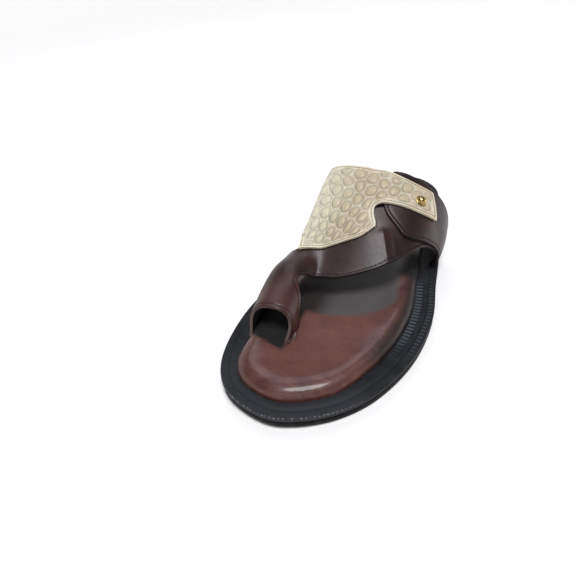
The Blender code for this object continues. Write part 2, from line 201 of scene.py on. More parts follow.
# %% [markdown]
# ## The drawing
# A sandal is designed as flat patterns for a given last, the block in the shape of a foot. It
# could be traced with curves in the viewport, but then its sizes would be hidden in control
# points. So it is drawn with a few short tables. The sole is an outline. The straps lie on a foot
# form: at each place along the sole, an arch over the instep is blended with a narrower one
# over the big toe. A point of a strap is named by its place along the sole and by its girth,
# which runs from -1 at the medial foot over 0 at the top to 1 at the lateral foot.

# %% Heights and walls
OUTSOLE = 4.4
WELT_TOP = 8.0
SEAT = 8.3  # height at which the straps stand on the welt
HEEL_LIFT = 6.5
TOE_SPRING = 1.5
STRAP = 2.2
QUARTER_IN = 1.9  # from the foot form to the quarter's inner side
QUARTER_OUT = 4.1
SADDLE_WALL = 1.8
PER_GIRTH = 62.0  # millimetres of leather to one unit of girth
print("edge of the sole", WELT_TOP, "mm, strap", STRAP, "mm, saddle", SADDLE_WALL, "mm")

# %% Tables of the sole
# Sole outline, from the toe tip round the medial side: x to the little toe, y from the toe
OUTLINE = [
    (-7.9, 0.3), (-32.3, 6.0), (-47.2, 21.8), (-54.4, 46.1), (-55.6, 76.6), (-48.6, 106.7),
    (-41, 138.5), (-37.6, 172), (-36, 206), (-35.2, 236), (-29.2, 260.7), (-13.3, 274.3),
    (0.7, 276.7), (14.8, 273), (29, 258.9), (37, 234), (42, 206), (49.8, 172),
    (54.8, 136.8), (59.6, 103.5), (56.5, 69.7), (45.4, 39.8), (30, 19.2), (10.6, 5.3),
]

# Width of the welt that shows beside the footbed
#        y    medial lateral
RIM = [
    (-140, 13.0, 13.0),
    (-60, 12.8, 13.2),
    (-38, 9.6, 13.2),
    (-16, 8.0, 13.2),
    (2, 10.6, 13.2),
    (44, 11.0, 13.0),
    (75, 12.0, 12.6),
    (140, 12.6, 12.6),
]

print("sole", max(y for _, y in OUTLINE), "mm long")

# %% Tables of the foot form
# The foot form under the straps: the instep. Heights are above the welt, and tuck is how far
# the medial side draws in at its foot.
#         y    ridge medial lateral top  medial_power lateral_power tuck
INSTEP = [
    (-115, -15, -20, -10, 1.7, 2.5, 1.8, 0),
    (-75, -15, -26, 5, 5.7, 2.5, 1.8, 0),
    (-60, -8, -44, 44, 12.7, 2.5, 1.8, 0),
    (-50, -5, -44, 46, 16.7, 2.5, 1.8, 2),
    (-40, -3, -44, 45.5, 20.7, 2.6, 2.0, 6),
    (-25, -4, -43, 45, 28.7, 2.8, 1.9, 11),
    (0, -9, -45, 43.6, 43.2, 3.0, 1.7, 16),
    (25, -15, -46.5, 43.8, 54.0, 3.0, 1.85, 12),
    (50, -15, -44, 39.5, 61.0, 3.0, 1.7, 10),
]

# The foot form under the straps: the big toe and its joint
#       y    middle half_width top
BIG_TOE = [
    (-115, -25.5, 10.5, 17.7),
    (-97, -26, 11.0, 19.5),
    (-85, -26.5, 13.0, 21.7),
    (-70, -29, 14.0, 23.7),
    (-55, -30.5, 13.8, 26.7),
    (-40, -30, 13.0, 25.2),
    (-25, -27, 11.0, 26.7),
    (0, -23, 11.0, 27.7),
]

# Where the girth of a section is measured from
AXIS = [(-80, -26.5), (-40, -14), (0, -2), (30, 0)]

# The form is drawn on its own line, a little off the sole's: turned towards the big toe
FORM_SCALE = 1.0154
FORM_TURN = -3.28  # degrees about Z
FORM_SHIFT = (2.97, 1.91)
print("instep", max(row[4] for row in INSTEP), "mm above the welt")

# %% Patterns of the leather
# Outlines of the leather pieces on that form. y is along the sole, girth is -1 at the medial
# foot, 0 straight up and 1 at the lateral foot; corner is 1 where the cut turns sharply.
VAMP = [
    # y, girth, corner
    (-96.5, -1.0, 1), (-93.5, -0.72, 0), (-90.5, -0.4, 0), (-88.6, -0.1, 0), (-86.8, 0.15, 0),
    (-86, 0.32, 0), (-87.4, 0.5, 0), (-90, 0.64, 0), (-93.2, 0.8, 0), (-97, 0.91, 0),
    (-99.6, 1.0, 1),
    (-96, 1.0, 1), (-92.2, 0.95, 0), (-87, 0.92, 0), (-82.6, 0.83, 0), (-80, 0.71, 0),
    (-77.2, 0.5, 0), (-72.6, 0.33, 0), (-68.6, 0.2, 0), (-65.4, 0.07, 0), (-61.5, -0.04, 0),
    (-57, -0.08, 0), (-52, -0.06, 0), (-48.2, 0.04, 0), (-46.6, 0.22, 0), (-45, 0.37, 0),
    (-40.3, 0.49, 0), (-32.8, 0.57, 0), (-25, 0.595, 0), (-18, 0.61, 0), (-9.2, 0.625, 0),
    (1, 0.66, 0), (8, 0.74, 0), (14, 0.87, 0), (18, 1.0, 1),
    (30, 1.0, 1), (28, 0.85, 0), (24, 0.6, 0), (20.5, 0.38, 0), (16, 0.2, 0),
    (10, 0.05, 0), (-1, -0.1, 0), (-14, -0.24, 0), (-27, -0.38, 0), (-34.2, -0.45, 0),
    (-36.4, -0.56, 0), (-37.6, -0.69, 0), (-36.6, -0.84, 0), (-33.6, -1.0, 1),
]

QUARTER = [
    (9.5, 0.1, 0), (5.4, 0.155, 0), (2.2, 0.22, 0), (-1.2, 0.342, 0), (-4, 0.465, 0),
    (-1.8, 0.54, 0), (2.8, 0.62, 0), (7.4, 0.71, 0), (10.6, 0.8, 0), (12.6, 0.88, 0),
    (15, 1.0, 1),
    (36.5, 1.0, 1), (41, 0.86, 0), (43, 0.7, 0), (42.6, 0.56, 0), (40.4, 0.41, 0),
    (38, 0.25, 0), (35.6, 0.12, 0), (32, 0.045, 0), (23, 0.03, 0), (14, 0.05, 0),
]

SADDLE = [
    (3.6, -1.0, 1), (-0.6, -0.88, 0), (-5.6, -0.78, 0), (-11.6, -0.68, 0), (-19, -0.575, 0),
    (-27.3, -0.49, 0), (-37, -0.425, 1),
    (-34.6, -0.345, 0), (-30.8, -0.225, 0), (-26, -0.08, 0), (-21.5, 0.05, 0),
    (-16.5, 0.155, 0), (-8, 0.197, 1),
    (-5.2, 0.16, 0), (-2, 0.108, 0), (1.6, 0.072, 0), (4.6, 0.066, 0), (7.4, 0.108, 0),
    (9.9, 0.188, 0), (12.9, 0.31, 0), (15.7, 0.43, 0), (20.3, 0.56, 1),
    (28, 0.478, 0), (34.8, 0.402, 1),
    (32, 0.28, 0), (30.6, 0.16, 0), (30.2, 0.04, 0), (29.9, -0.08, 0), (29.6, -0.2, 0),
    (29.6, -0.31, 0), (31.6, -0.4, 0), (35.8, -0.49, 0), (40.2, -0.6, 0), (42.6, -0.75, 0),
    (43.4, -0.88, 0), (43.4, -1.0, 1),
]
STUD_AT = (22.2, 0.362)  # y and girth
print("patterns of", len(VAMP), len(QUARTER), "and", len(SADDLE), "points")

# %% [markdown]
# The tables have few rows, and the real edges are smooth, so a cubic runs through their points.
# A subdivision surface would smooth them too, but it draws corners in, and the cuts of the
# leather are sharp in places. Small helpers follow: a smooth curve through a table's rows, a
# smooth line through drawn points, and triangles that fill a closed line.


# %% Smooth curves
def follow(table, column, at):
    """The column of a table at these places, along a smooth curve through its rows."""
    rows = np.array(table, float)
    place, value = rows[:, 0], rows[:, column]
    slope = np.gradient(value, place)
    at = np.clip(np.asarray(at, float), place[0], place[-1])
    i = np.clip(np.searchsorted(place, at, side="right") - 1, 0, len(place) - 2)
    step = place[i + 1] - place[i]
    t = (at - place[i]) / step
    return (
        (2 * t**3 - 3 * t**2 + 1) * value[i]
        + (t**3 - 2 * t**2 + t) * step * slope[i]
        + (3 * t**2 - 2 * t**3) * value[i + 1]
        + (t**3 - t**2) * step * slope[i + 1]
    )


def ease(t):
    """0 below 0, 1 above 1, and smooth between them."""
    t = np.clip(t, 0, 1)
    return t * t * (3 - 2 * t)


def rise(y):
    """How far the whole sole is lifted at y: onto the heel, and a little at the toe."""
    return HEEL_LIFT * ease((y - 20) / 48) + TOE_SPRING * ease((-y - 100) / 42) ** 2


def smooth_line(points, step):
    """Points at even steps along a closed curve through these, sharp at each marked one."""
    points = np.array(points, float)
    count = len(points)
    out = []
    for i in range(count):
        a, b = points[i], points[(i + 1) % count]
        before, after = points[i - 1], points[(i + 2) % count]
        go = (b - before) / 2 if not a[2] else b - a
        come = (after - a) / 2 if not b[2] else b - a
        length = np.hypot(*(b - a)[:2])
        cuts = max(1, round(length / step))
        for t in np.arange(cuts) / cuts:
            out.append(
                (2 * t**3 - 3 * t**2 + 1) * a
                + (t**3 - 2 * t**2 + t) * go
                + (3 * t**2 - 2 * t**3) * b
                + (t**3 - t**2) * come
            )
    return np.array(out)[:, :2]


# %% Closed lines
def inward(loop):
    """Unit vectors pointing into a closed loop."""
    along = np.roll(loop, -1, axis=0) - np.roll(loop, 1, axis=0)
    side = np.column_stack([-along[:, 1], along[:, 0]])
    side /= np.linalg.norm(side, axis=1)[:, None]
    area = np.sum(loop[:, 0] * np.roll(loop[:, 1], -1) - np.roll(loop[:, 0], -1) * loop[:, 1])
    return side if area > 0 else -side


def edge_distance(points, loop):
    """Distance from each point to a closed loop, and whether it is inside."""
    a, b = loop, np.roll(loop, -1, axis=0)
    d = b - a
    rel = points[:, None] - a[None]
    t = np.clip((rel * d).sum(2) / (d * d).sum(1), 0, 1)
    near = np.linalg.norm(rel - t[..., None] * d, axis=2).min(axis=1)
    y = points[:, 1:2]
    cross = (a[:, 1] > y) != (b[:, 1] > y)
    slope = d[:, 0] / np.where(d[:, 1] == 0, 1e-9, d[:, 1])
    left = points[:, :1] < a[:, 0] + (y - a[:, 1]) * slope
    return near, (cross & left).sum(axis=1) % 2 == 1


def triangulate(loop, extra):
    """Triangles that fill a loop, through the extra points inside it."""
    points = [Vector(p) for p in np.vstack([loop, extra])]
    ring = list(range(len(loop)))
    verts, _, faces, *_ = delaunay_2d_cdt(points, [], [ring], 1, 1e-6)
    return np.array([v[:] for v in verts]), [list(f) for f in faces]


def fill(loop, step, clear):
    """Points of a triangular grid inside a loop, none nearer to it than clear."""
    low, high = loop.min(axis=0), loop.max(axis=0)
    rows = []
    for j, y in enumerate(np.arange(low[1] + step / 2, high[1], step * 0.87)):
        x = np.arange(low[0] + (step / 2 if j % 2 else 0), high[0], step)
        rows.append(np.column_stack([x, np.full(len(x), y)]))
    grid = np.vstack(rows)
    near, inside = edge_distance(grid, loop)
    return grid[inside & (near > clear)]


# %% Outline of the sole
TOE_TO_ORIGIN = 140.9  # the table counts y from the toe, and the drawing from the waist


def sole_outline(step):
    """Outline of the sole in the drawing, as points this far apart."""
    return smooth_line([(x, y - TOE_TO_ORIGIN, 0) for x, y in OUTLINE], step)


def welt_width(outline):
    """Width of the welt that shows beside each point of the sole's outline."""
    medial = ease(inward(outline)[:, 0] + 0.5)
    return medial * follow(RIM, 1, outline[:, 1]) + (1 - medial) * follow(RIM, 2, outline[:, 1])


print("sole", np.ptp(sole_outline(2.0), axis=0).round(1), "mm")

# %% [markdown]
# ## The foot form
# On the real sandal the straps take their shape from the last. A last could be sculpted and the
# straps shrinkwrapped to it, which leaves their pattern distorted. This form is a function
# instead: form says whether a point lies inside the foot, and on_form looks outward from the
# sole's middle, at the angle that the girth gives, for the place where the form ends.


# %% Foot form
def form(x, y, h):
    """Less than 1 inside the form and 1 on it, at heights h above the welt."""
    ridge, medial, lateral, top, power_m, power_l, tuck = [
        follow(INSTEP, c, y) for c in range(1, 8)
    ]
    medial = medial + tuck * np.clip(1 - h / top, 0, 2) ** 1.3
    middle = 0.25 * top
    across = np.where(x < ridge, (ridge - x) / (ridge - medial), (x - ridge) / (lateral - ridge))
    power = np.where(x < ridge, power_m, power_l)
    up = np.where(h > middle, (h - middle) / (top - middle), (middle - h) / (1.2 * (top - middle)))
    instep = (across**power + up**power) ** (1 / power)
    centre, half, top = [follow(BIG_TOE, c, y) for c in (1, 2, 3)]
    middle = 0.3 * top
    up = np.where(h > middle, (h - middle) / (top - middle), (middle - h) / (1.3 * (top - middle)))
    toe = ((np.abs(x - centre) / half) ** 2.3 + up**2.3) ** (1 / 2.3)
    blend = 6
    return (np.maximum(instep, 1e-6) ** -blend + np.maximum(toe, 1e-6) ** -blend) ** (-1 / blend)


# %% Points on and off the form
FURTHEST = 120.0
HALVINGS = 40


def on_form(y, girth):
    """The point of the form at each y and girth, by halving the reach again and again."""
    turn = girth * math.pi / 2
    side, up = np.sin(turn), np.cos(turn)
    from_x = follow(AXIS, 1, y)
    near, far = np.zeros_like(y), np.full_like(y, FURTHEST)
    for _ in range(HALVINGS):
        reach = (near + far) / 2
        inside = form(from_x + reach * side, y, reach * up) < 1
        near, far = np.where(inside, reach, near), np.where(inside, far, reach)
    x = from_x + near * side
    turn = math.radians(FORM_TURN)
    across = FORM_SCALE * (x * math.cos(turn) - y * math.sin(turn)) + FORM_SHIFT[0]
    along = FORM_SCALE * (x * math.sin(turn) + y * math.cos(turn)) + FORM_SHIFT[1]
    z = FORM_SCALE * near * up + SEAT + rise(along)
    return np.column_stack([across, along, z])


def off_form(y, girth, out):
    """The same, moved outward by a distance that may differ from point to point."""
    y, girth = np.asarray(y, float), np.asarray(girth, float)
    across = on_form(y, np.clip(girth + 0.02, -1, 1)) - on_form(y, np.clip(girth - 0.02, -1, 1))
    along = on_form(y + 1.2, girth) - on_form(y - 1.2, girth)
    normal = np.cross(across, along)
    normal /= np.linalg.norm(normal, axis=1)[:, None]
    foot = np.clip((np.abs(girth) - 0.85) / 0.15, 0, 1) ** 2
    normal[:, 2] *= 1 - foot  # the foot of a strap is cut level with the welt
    normal /= np.linalg.norm(normal, axis=1)[:, None]
    return on_form(y, girth) + normal * np.broadcast_to(out, y.shape)[:, None]


def flat_outline(table, step):
    """Outline of a pattern laid out flat, with its girth in millimetres."""
    return smooth_line([(girth * PER_GIRTH, y, corner) for y, girth, corner in table], step)


# %% [markdown]
# ## Leather as two sheets
# A strap is cut flat from hide, sewn, and pulled over a foot-shaped block. It could be modelled
# from a subdivided plane or draped by a cloth simulation, but then its cut edge would not lie where
# the pattern has it. So each piece keeps its pattern: the outline is filled with points on the
# flat, with rings of points along the edge where it is rounded and sewn, and all of them are
# lifted onto the foot form as an outer and an inner sheet with a cut edge between them.


# %% Objects, and the numbers on their points
def add(name, points, faces, materials, which=None, smooth=40):
    """An object on the frame, from points in the drawing's millimetres."""
    mesh = bpy.data.meshes.new(name)
    mesh.from_pydata(((np.asarray(points) - CENTRE) * MM).tolist(), [], faces)
    for graph in materials:
        mesh.materials.append(graph.material)
    if which is not None:
        mesh.polygons.foreach_set("material_index", which)
    mesh.shade_smooth()
    mesh.set_sharp_from_angle(angle=math.radians(smooth))
    obj = bpy.data.objects.new(name, mesh)
    bpy.context.scene.collection.objects.link(obj)
    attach(obj, "root")
    print(name, sum(len(f) - 2 for f in faces), "triangles")
    return obj


def store(obj, **columns):
    """Numbers kept on the points of a mesh, for its shader."""
    for name, values in columns.items():
        layer = obj.data.attributes.new(name, "FLOAT", "POINT")
        layer.data.foreach_set("value", np.asarray(values, np.float32))


# %% The flat pattern of a piece
def lay_out(loop, step, rings, extra=()):
    """Points and triangles that fill a loop, with rings of points at these depths inside it."""
    inner = fill(loop, step, rings[-1] + 0.6 * step)
    for row in extra:
        apart = np.linalg.norm(inner[:, None] - row[None], axis=2).min(axis=1)
        inner = inner[apart > 0.6 * step]
    rows = [inner]
    for depth in rings:
        ring = loop + inward(loop) * depth
        near, inside = edge_distance(ring, loop)
        rows.append(ring[inside & (near > 0.85 * depth)])
    flat, faces = triangulate(loop, np.vstack(rows + list(extra)))
    a, b, c = flat[faces[0]]
    if (b[0] - a[0]) * (c[1] - a[1]) < (c[0] - a[0]) * (b[1] - a[1]):
        faces = [f[::-1] for f in faces]
    depth, _ = edge_distance(flat, loop)
    return flat, faces, depth


def two_sheets(name, flat, faces, depth, low, high, materials):
    """A closed piece: outer face, inner face and cut edge, each with its own material."""
    count = len(flat)
    ends = {(a, b) for f in faces for a, b in zip(f, f[1:] + f[:1])}
    rim = [(a, b) for a, b in ends if (b, a) not in ends]
    under = [[i + count for i in reversed(f)] for f in faces]
    edge = [[b, a, a + count, b + count] for a, b in rim]
    which = [0] * len(faces) + [1] * len(under) + [2] * len(edge)
    obj = add(name, np.vstack([high, low]), faces + under + edge, materials, which)
    store(obj, u=np.tile(flat[:, 0], 2), v=np.tile(flat[:, 1], 2), depth=np.tile(depth, 2))
    return obj


# %% Rounded edges and seams
def rounded(depth, radius):
    """How far the surface drops near a rounded edge."""
    t = np.clip(1 - depth / radius, 0, 1)
    return radius * (1 - np.sqrt(1 - t * t))


def seam(depth, place, width=0.5, deep=0.16):
    """The shallow channel that a row of stitches pulls in."""
    return deep * np.exp(-(((depth - place) / width) ** 2))


def off_feet(girth):
    """1 over the arch of a strap, and 0 at its feet, which stand square on the welt."""
    return 1 - ease((np.abs(girth) - 0.86) / 0.1)


# %% [markdown]
# ## Stitches
# Each piece of the upper is sewn down with one row of dark thread, which lies in the channel
# that it pulls into the leather. A painted line would do from afar. Here each stitch catches
# its own small light, so each is a short capsule with six sides, and the row follows the
# piece's edge at an even distance.

# %% Rows of stitches
STITCH_PITCH = 2.1
THREAD_SIDES = 6
# Each ring of a stitch: its place along the stitch, and its share of the radius
THREAD_RINGS = ((0, 0.45), (0.2, 1), (0.8, 1), (1, 0.45))


def seam_line(table, place, out, keep):
    """Points of a seam on the foot form, and the way out of the leather at each of them."""
    loop = flat_outline(table, 0.5)
    line = loop + inward(loop) * place
    near, inside = edge_distance(line, loop)
    line = line[(inside == (place > 0)) & (near > 0.94 * abs(place)) & keep(line)]
    girth = line[:, 0] / PER_GIRTH
    spots = off_form(line[:, 1], girth, out(line))
    return spots, off_form(line[:, 1], girth, out(line) + 1) - spots


def capsule(a, b, up, thick, first):
    """One stitch from a to b: its points, and its faces counted from the point first."""
    side = np.cross(b - a, up)
    side = side / np.linalg.norm(side)
    points = []
    for t, share in THREAD_RINGS:
        sink = (abs(t - 0.5) * 2) ** 3 * thick
        for turn in np.arange(THREAD_SIDES) / THREAD_SIDES * 2 * math.pi:
            ring = (side * math.cos(turn) + up * math.sin(turn)) * share * thick
            points.append(a + (b - a) * t + ring - up * sink)
    faces = []
    for k in range(len(THREAD_RINGS) - 1):
        at = first + THREAD_SIDES * k
        for m in range(THREAD_SIDES):
            n = (m + 1) % THREAD_SIDES
            faces.append([at + m, at + n, at + THREAD_SIDES + n, at + THREAD_SIDES + m])
    last = first + THREAD_SIDES * (len(THREAD_RINGS) - 1)
    faces.append([first + m for m in reversed(range(THREAD_SIDES))])
    faces.append([last + m for m in range(THREAD_SIDES)])
    return points, faces


def stitches(name, table, place, out, keep, long=1.35, thick=0.42):
    """A row of thread beside a piece's edge, place millimetres inside it, or outside if negative."""
    spots, away = seam_line(table, place, out, keep)
    steps = np.linalg.norm(np.diff(spots, axis=0), axis=1)
    along = np.concatenate([[0], np.cumsum(np.where(steps > 3, 0, steps))])
    points, faces = [], []
    for start in np.arange(0, along[-1] - STITCH_PITCH, STITCH_PITCH):
        i, j = np.searchsorted(along, [start, start + long])
        a, b = spots[i], spots[min(j, len(spots) - 1)]
        if i == j or np.linalg.norm(b - a) > 2 * long:
            continue
        more_points, more_faces = capsule(a, b, away[i], thick, len(points))
        points += more_points
        faces += more_faces
    return add(name, points, faces, [thread], smooth=80)


# %% [markdown]
# ## Dark leather
# The strap is a very dark reddish brown, polished, with fine pores and a few dull clouds. Over
# the ring it is painted a lighter, redder brown for a soft highlight, with painted shade on the
# ring's medial flank, and it is darker at the edge and along the seam. A picture of leather could
# be wrapped round it, but noise in the object's own space has no joints and fits any bend. Its
# colour follows the numbers kept on the mesh: v runs along the sole, u is the girth in
# millimetres, and depth is the distance from the cut edge.

# %% Strap leather
SEAM = 2.1  # from a dark piece's edge to its row of stitches

strap = Graph("strap_leather", (0.034, 0.012, 0.012), 0.35, Coat_Roughness=0.26)
strap.set(Specular_IOR_Level=0.32)
place = strap.place()
pores = strap.noise(0.55, 2, 0.6, place)
fold = strap.noise(3.2, 4, 0.55, place)
cloud = strap.noise(22, 3, 0.5, place)
depth = strap.value("depth")
# painted soft highlight: over the ring the strap is mixed to a lighter, redder brown
on_ring = 1 - strap.value("v").step(-82, -50)
# painted shade: the ring's medial flank keeps the dark brown and loses the coat
shaded_flank = (1 - strap.value("u").step(-34, -14)) * on_ring
worked = (1 - depth.step(0.1, 1.0)) * 0.6 + depth.bump(SEAM, 0.6) * 0.5
brown = strap.mix(cloud.step(0.35, 0.7), (0.014, 0.0050, 0.0048), (0.033, 0.0112, 0.0098))
brown = strap.mix(on_ring * 0.65 - shaded_flank * 0.6, brown, (0.078, 0.029, 0.022))
strap.set(Base_Color=strap.mix(worked, brown, (0.008, 0.005, 0.006)))
strap.set(Roughness=0.27 + 0.16 * fold + 0.1 * pores + 0.4 * shaded_flank)
strap.set(Coat_Weight=(0.02 + 0.16 * cloud) * (1 - shaded_flank))
strap.dent(0.5 * fold + 0.3 * pores, 0.6, 0.22 * MM)
print("strap leather has", len(strap.tree.nodes), "nodes")

# %% [markdown]
# The inner side of a strap is a soft black lining, and its cut edge is dyed dark, with a painted
# highlight round the mouth of the ring. One material could tell the three apart by a mask.
# Materials of their own keep each recipe short, and two_sheets puts them on the right faces.

# %% Lining, cut edge and thread
lining = Graph("black_lining", (0.006, 0.006, 0.0065), 0.62, Specular_IOR_Level=0.3)
lining.dent(lining.noise(0.8, 2), 0.4, 0.15 * MM)
cut_edge = Graph("dyed_edge", (0.120, 0.080, 0.072), 0.4)
# painted highlight: the cut edge is lighter round the mouth of the ring
mouth_highlight = 1 - cut_edge.value("v").step(-84, -74)
cut_edge.set(Base_Color=cut_edge.mix(mouth_highlight, (0.012, 0.008, 0.008), (0.085, 0.052, 0.046)))
cut_edge.dent(cut_edge.noise(0.9, 3), 0.4, 0.2 * MM)
thread = Graph("black_thread", (0.004, 0.003, 0.003), 0.6, Specular_IOR_Level=0.2)
thread.dent(thread.noise(0.25, 1), 0.4, 0.1 * MM)
print("made", lining.material.name, cut_edge.material.name, thread.material.name)

# %% [markdown]
# ## The strap and its creases
# One piece of leather is both the ring for the big toe and the strap across the foot. It is
# creased where it turns down to the little toe's side: one sharp fold and a softer one beside it.
# A sculpting brush could press them in by hand. Here a crease is a line on the flat pattern with a
# slope on each side, and rows of points run beside it so that the triangles can bend there.

# %% Creases of the strap
FOLDS = [
    # u and v of the upper end, of the lower end, height, reach of the slope on each side
    (15.0, -5.5, 37.0, -25.4, 0.75, 5.0, 4.0),
    (24.0, -7.0, 41.0, -24.0, 0.25, 2.4, 3.0),
]
FOLD_ROWS = (-1.4, -0.7, 0, 0.7, 1.4)  # rows of points beside a crease


def folds(flat):
    """Height of the strap's creases over its flat layout."""
    total = np.zeros(len(flat))
    for u0, v0, u1, v1, height, left, right in FOLDS:
        way = np.array([u1 - u0, v1 - v0])
        length = np.linalg.norm(way)
        rel = flat - np.array([u0, v0])
        t = rel @ way / length**2
        side = (rel[:, 0] * -way[1] + rel[:, 1] * way[0]) / length
        ends = ease(t / 0.22)
        slope = np.where(side < 0, np.exp(side / left), np.exp(-side / right))
        drop = np.where(side > 0, (1 - np.exp(-side / 3.2)) * np.exp(-side / 12), 0)
        total += ends * (height * slope - 2.2 * height * drop)
    return total


def fold_line(step):
    """Rows of points along each crease, this far apart."""
    rows = []
    for u0, v0, u1, v1, *_ in FOLDS:
        long = math.hypot(u1 - u0, v1 - v0)
        t = np.arange(0.05, 1.0, step / long)
        for off in FOLD_ROWS:
            x = u0 + (u1 - u0) * t - (v1 - v0) / long * off
            rows.append(np.column_stack([x, v0 + (v1 - v0) * t + (u1 - u0) / long * off]))
    return rows


def within(rows, loop):
    """The points of these rows that lie well inside the loop."""
    kept = []
    for row in rows:
        near, inside = edge_distance(row, loop)
        kept.append(row[inside & (near > 3.6)])
    return kept


# %% Strap and ring
EDGE = [0.12, 0.35, 0.7, 1.2, 1.7, SEAM, 2.5, 3.1]
SUNK = 0.14  # how deep the middle of a thread lies below the leather's top

loop = flat_outline(VAMP, 1.3)
flat, faces, depth = lay_out(loop, 1.7, EDGE, within(fold_line(0.9), loop))
girth = flat[:, 0] / PER_GIRTH
lift = folds(flat)
drop = (rounded(depth, 0.35) + seam(depth, SEAM)) * off_feet(girth)
high = off_form(flat[:, 1], girth, STRAP - drop + lift)
low = off_form(flat[:, 1], girth, np.maximum(lift, 0) * 0.6)
vamp = two_sheets("strap_and_ring", flat, faces, depth, low, high, [strap, lining, cut_edge])
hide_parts("upper")


# %% Stitches of the strap
def vamp_top(line):
    """Distance of the strap's stitches from the foot form."""
    return STRAP - SUNK + folds(line)


def above_welt(line):
    """Leaves out the feet of a strap, where the seam runs into the welt."""
    return np.abs(line[:, 0] / PER_GIRTH) < 0.93


stitches("strap_stitches", VAMP, SEAM, vamp_top, above_welt)

# %% [markdown]
# ## The quarter
# A second piece of the same leather lies over the strap on the lateral side. Its front edge
# stands proud of the strap and throws a thin shadow, which a painted line would not follow as
# the light moves. So it is a closed piece too, laid out and lifted in the same way, further out.

# %% Quarter
loop = flat_outline(QUARTER, 1.3)
flat, faces, depth = lay_out(loop, 1.7, EDGE)
girth = flat[:, 0] / PER_GIRTH
drop = (rounded(depth, 0.4) + seam(depth, SEAM)) * off_feet(girth)
high = off_form(flat[:, 1], girth, QUARTER_OUT - drop)
low = off_form(flat[:, 1], girth, np.full(len(flat), QUARTER_IN))
two_sheets("quarter", flat, faces, depth, low, high, [strap, lining, cut_edge])


def quarter_top(line):
    """Distance of the quarter's stitches from the foot form."""
    return np.full(len(line), QUARTER_OUT - SUNK)


stitches("quarter_stitches", QUARTER, SEAM, quarter_top, above_welt)

# %% [markdown]
# ## The saddle
# Pale leather is embossed with scales. They lie close to regular hexagons about 10 mm apart,
# turned a little, and each is a soft dome inside a fine raised outline. A cell texture gives
# cells of many sizes, so two rectangular grids of points are laid into each other instead, which
# makes an even lattice, and a little noise bends it. A smooth margin runs along the edge.

# %% Lattice of scales
SCALE_PITCH = 9.8
SCALE_TURN = -12.0  # degrees
SCALE_SHIFT = (0.56, 0.55)  # shares of the pitch
SCALE_BEND = 3.4
SCALE_LONG = 1.5  # a scale is this much longer along the sole than across it


def to_nearest_scale(x, y):
    """Distance to the nearest point of a hexagonal lattice of pitch 1."""
    tall = math.sqrt(3)
    shortest = None
    for shift in (0.0, 0.5):
        dx = (x + shift).part() - 0.5
        dy = ((y / tall + shift).part() - 0.5) * tall
        away = (dx * dx + dy * dy).root()
        shortest = away if shortest is None else shortest.least(away)
    return shortest


pale = Graph("pale_embossed_leather", (0.66, 0.56, 0.40), 0.42, Coat_Roughness=0.3, IOR=1.45)
bend = pale.noise(9, 2, 0.5, output=1)
bend_x = pale.node("ShaderNodeSeparateXYZ", {}, {0: bend})
bend_y = pale.node("ShaderNodeSeparateXYZ", {}, {0: bend}, output=1)
across = pale.value("u") * SCALE_LONG + SCALE_BEND * (bend_x - 0.5)
along = pale.value("v") + SCALE_BEND * (bend_y - 0.5)
turn_x = math.cos(math.radians(SCALE_TURN))
turn_y = math.sin(math.radians(SCALE_TURN))
lattice_x = (across * turn_x + along * turn_y) / SCALE_PITCH + SCALE_SHIFT[0]
lattice_y = (along * turn_x - across * turn_y) / SCALE_PITCH + SCALE_SHIFT[1]
cell = to_nearest_scale(lattice_x, lattice_y)
print("scales", SCALE_PITCH, "mm apart")

# %% [markdown]
# The height of the relief and its tint come from the same masks: each scale is a tan dome inside
# a pale raised outline, and the moat round it has painted shade. The medial side of the saddle
# faces the light and is paler.

# %% Saddle leather
PALE_SEAM = 1.4
margin = pale.value("depth").step(1.9, 3.6)
dome = (1 - (cell / 0.43).least(1) ** 2.6) * margin
raised = cell.bump(0.475, 0.06) * 0.75 * margin
# painted shade: the moat round each scale is mixed darker
shaded_moat = cell.bump(0.405, 0.075) * margin
grain = pale.noise(0.7, 2, 0.6)
soft = pale.noise(14, 3, 0.5)
medial_side = 1 - pale.value("u").step(-26, -8)
stitched = pale.value("depth").bump(PALE_SEAM, 0.45)
cut = 1 - pale.value("depth").step(0.0, 0.5)

cream = pale.mix(soft.step(0.3, 0.7), (0.64, 0.575, 0.43), (0.54, 0.465, 0.325))
cream = pale.mix(medial_side, cream, (0.76, 0.74, 0.56))
toned = pale.mix(dome * (0.8 - 0.45 * medial_side), cream, (0.44, 0.355, 0.225))
toned = pale.mix(raised * 0.7, toned, (0.76, 0.70, 0.57))
toned = pale.mix(shaded_moat * 0.15, toned, (0.33, 0.26, 0.16))
toned = pale.mix(stitched * 0.75, toned, (0.10, 0.085, 0.07))
pale.set(Base_Color=pale.mix(cut * 0.3, toned, (0.74, 0.68, 0.55)))
pale.set(Roughness=0.36 + 0.12 * grain - 0.06 * dome, Coat_Weight=0.18 + 0.12 * soft)
pale.dent(0.75 * dome + 0.3 * raised - 0.1 * shaded_moat + 0.05 * grain, 1.0, 2.4 * MM)

pale_edge = Graph("pale_cut_edge", (0.58, 0.50, 0.37), 0.6)
pale_edge.dent(pale_edge.noise(0.8, 2), 0.4, 0.2 * MM)
pale_under = Graph("saddle_lining", (0.010, 0.010, 0.010), 0.6)
pale_under.dent(pale_under.noise(0.8, 2), 0.3, 0.15 * MM)
print("saddle leather has", len(pale.tree.nodes), "nodes")

# %% [markdown]
# The saddle lies on the strap and climbs over the quarter, which is a second layer under it.
# A shrinkwrap onto the pieces below would print their every edge through it. So its distance
# from the foot form is one smooth function of the place on the pattern, and the leather bridges
# the step as a real overlay does.

